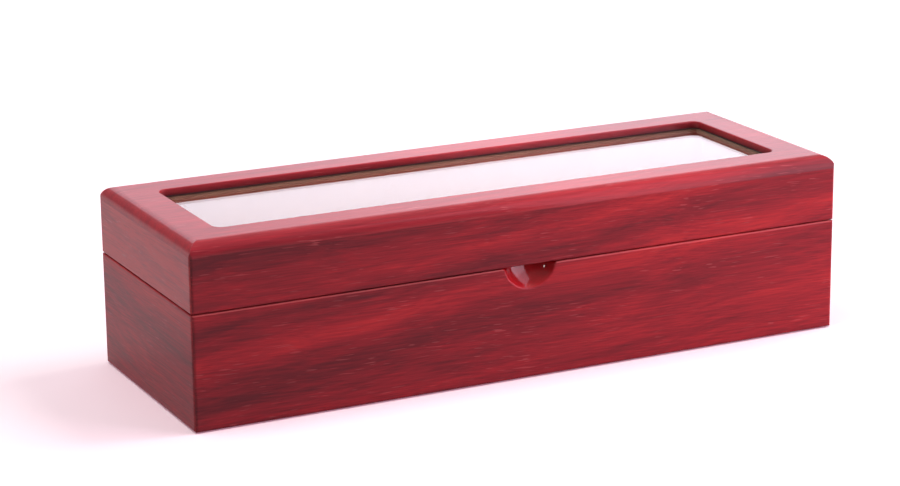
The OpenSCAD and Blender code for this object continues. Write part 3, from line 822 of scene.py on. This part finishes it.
# The back panel. Each is two places in mm, across or up, and the levels there unless they are 0 and 1.
BACK_LOW, BACK_HIGH, BACK_SPLIT = (250, 850, 1.98, 2.56), (330, 960, 1.71, 2.30), (400, 455)
BACK_LEFT, BACK_FOOT = (190, 270), (250, 330)
BACK_TOP, BACK_TOP_MIRRORED = (560, 700, 1, 0), (1000, 1180, 1, 0)
BESIDE_LEFT, BESIDE_TOP, BESIDE_GAIN = (-240, -200), (760, 860, 1, 0), 0.7
AROUND, UNLIT_LEFT, UNLIT_FOOT, UNLIT = (-200, 500, 0.95, 1.1), (-250, -200, 1, 0), (150, 230), 0.32
BACK_TINT, RIGHT_TINT = (0.97, 0.89, 1.0, 1), (1.0, 0.70, 0.86, 1)
RIGHT_LIGHT, RIGHT_MIRRORED, RIGHT_UPPER, RIGHT_FADED = 3.15, 4.2, (350, 500), 0.62


def seen_directly(k):
    """1 for the rays that show a backdrop as it is: camera, mirror and see-through rays."""
    return k.math("ADD", k.plus(k.ray("Camera"), k.ray("Glossy")), k.ray("Transmission"), clamp=True)


def add_floor():
    bpy.ops.mesh.primitive_plane_add(size=FLOOR_SIZE, location=(0, 0, -FLOOR_DROP))
    floor = bpy.context.object
    floor.name = "studio_floor"
    k = Nodes("studio_floor")
    tone = k.noise(k.place(), scale=0.02, detail=2)
    paper = k.ramp(tone, [(0.3, (FLOOR_WHITE - FLOOR_GRAIN,) * 3), (0.7, (FLOOR_WHITE + FLOOR_GRAIN,) * 3)])
    diffuse = k.new("ShaderNodeBsdfDiffuse")
    k.link(k.mix(seen_directly(k), (FLOOR_BOUNCE,) * 3, paper), diffuse.inputs["Color"])
    glow = k.new("ShaderNodeEmission")
    # Near the box the paper's glow is pink, a painted reddish bounce light that tints the box's shadow; far
    # from the lamps the paper's own glow takes over, so that it stays white to the horizon.
    reach = k.new("ShaderNodeVectorMath", operation="LENGTH")
    k.link(k.place(), reach.inputs[0])
    far = k.range(reach.outputs["Value"], *FLOOR_FAR, smooth=True)
    k.link(k.mix(far, PAINTED_BOUNCE_PINK, WHITE), glow.inputs["Color"])
    k.link(k.times(seen_directly(k), k.range(far, 0, 1, FLOOR_GLOW, 1.0)), glow.inputs["Strength"])
    both = k.new("ShaderNodeAddShader")
    k.link(diffuse.outputs[0], both.inputs[0])
    k.link(glow.outputs[0], both.inputs[1])
    floor.data.materials.append(k.finish(both))


def add_world():
    """White where it is seen; for mirror rays it darkens in front of the box between the horizon and
    the ceiling, as a studio does behind the camera, which draws the crisp line along the lid's edge."""
    world = bpy.data.worlds.new("studio")
    SCENE.world = world
    world.use_nodes = True
    k = Nodes(world.node_tree)
    out = k.new("ShaderNodeOutputWorld")
    back = k.new("ShaderNodeBackground")
    _, y, z = k.split(k.new("ShaderNodeTexCoord").outputs["Generated"])
    dark = k.times(k.range(z, *DARK_UP, smooth=True), k.range(y, *DARK_FRONTWARD, smooth=True))
    mirrored = k.times(k.ray("Glossy"), k.range(dark, 0, 1, 1.0, WORLD_DARK))
    seen = k.math("ADD", k.ray("Camera"), k.ray("Transmission"), clamp=True)
    ceiling = k.range(z, *CEILING, WORLD_LOW, WORLD_HIGH, smooth=True)
    k.link(k.math("MAXIMUM", k.math("MAXIMUM", mirrored, seen), ceiling), back.inputs["Strength"])
    k.link(back.outputs[0], out.inputs[0])


def add_area(name, place, target, size, power, mirrored=True):
    """A square lamp that the camera doesn't see, and mirrors only where it says so."""
    data = bpy.data.lights.new(name, "AREA")
    data.shape = "RECTANGLE"
    data.size = data.size_y = size
    data.energy = power
    lamp = bpy.data.objects.new(name, data)
    lamp.location = place
    lamp.rotation_euler = (Vector(target) - Vector(place)).to_track_quat("-Z", "Y").to_euler()
    lamp.visible_camera = False
    lamp.visible_glossy = mirrored
    SCENE.collection.objects.link(lamp)


def add_panel(name, start, end, foot, top, shade):
    """An upright glowing panel between two places on the floor, out of the camera's view."""
    mesh = bpy.data.meshes.new(name)
    mesh.from_pydata([(*start, foot), (*end, foot), (*end, top), (*start, top)], [], [(0, 1, 2, 3)])
    panel = bpy.data.objects.new(name, mesh)
    SCENE.collection.objects.link(panel)
    k = Nodes(name)
    x, _, z = k.split(k.place())
    strength, tint = shade(k, x, z)
    glow = k.new("ShaderNodeEmission")
    k.put(glow.inputs["Strength"], strength)
    k.put(glow.inputs["Color"], tint)
    mesh.materials.append(k.finish(glow))
    panel.visible_camera = False
    panel.visible_shadow = False


def back_shade(k, x, z):
    """The panel that the lid and the glass mirror: it grows brighter to the right and lower down."""
    level = k.plus(k.times(k.range(x, *BACK_LOW), k.range(z, *BACK_SPLIT, 1, 0)),
                   k.times(k.range(x, *BACK_HIGH), k.range(z, *BACK_SPLIT, 0, 1)))
    # Mirror rays see it taller than it is as a light, for the rounding along the lid's front.
    upper = k.math("MAXIMUM", k.times(k.ray("Glossy"), k.range(z, *BACK_TOP_MIRRORED, smooth=True)),
                   k.range(z, *BACK_TOP, smooth=True))
    shape = k.times(k.range(x, *BACK_LEFT, smooth=True), k.times(upper, k.range(z, *BACK_FOOT, smooth=True)))
    # To the left it goes on, brighter still, for the upper half of the lid's left rounding.
    beside = k.times(k.between(x, *BESIDE_LEFT, *BACK_LEFT, smooth=True),
                     k.times(k.range(z, *BESIDE_TOP), k.range(z, *BACK_FOOT)))
    level = k.plus(level, k.times(beside, BESIDE_GAIN))
    shape = k.math("MAXIMUM", shape, beside)
    # Further left and up it is dark, for the lower half of that rounding.
    unlit = k.times(k.range(x, *UNLIT_LEFT, smooth=True), k.range(z, *UNLIT_FOOT, smooth=True))
    around = k.times(k.range(x, *AROUND, smooth=True), k.range(unlit, 0, 1, 1.0, UNLIT))
    return k.plus(around, k.times(shape, k.minus(level, around))), BACK_TINT


def right_shade(k, x, z):
    """Brighter to mirror rays than as a light on the box's front, and fainter to them higher up."""
    upper = k.times(k.ray("Glossy"), k.range(z, *RIGHT_UPPER, smooth=True))
    strength = k.range(k.ray("Glossy"), 0, 1, RIGHT_LIGHT, RIGHT_MIRRORED)
    return k.times(strength, k.range(upper, 0, 1, 1.0, RIGHT_FADED)), RIGHT_TINT


add_cushions()
add_glazing_line()
add_camera()
add_floor()
add_world()
add_panel("back_softbox", (-1.3, 1.2), (1.9, 1.2), 0.05, 1.25, back_shade)
add_panel("right_softbox", (0.385, -0.765), (0.80, -0.12), 0.01, 1.10, right_shade)
add_area("right_key", (1.3, -0.10, 1.85), (0, 0, 0.03), size=0.96, power=19.5, mirrored=False)
add_area("left_fill", (-0.50, -0.05, 1.30), (0, 0, 0.05), size=0.7, power=6.8, mirrored=False)
add_area("left_glint", (-0.95, -1.15, 0.62), (0, 0, 0.05), size=0.09, power=0.7)

SCENE.view_settings.view_transform = "Standard"
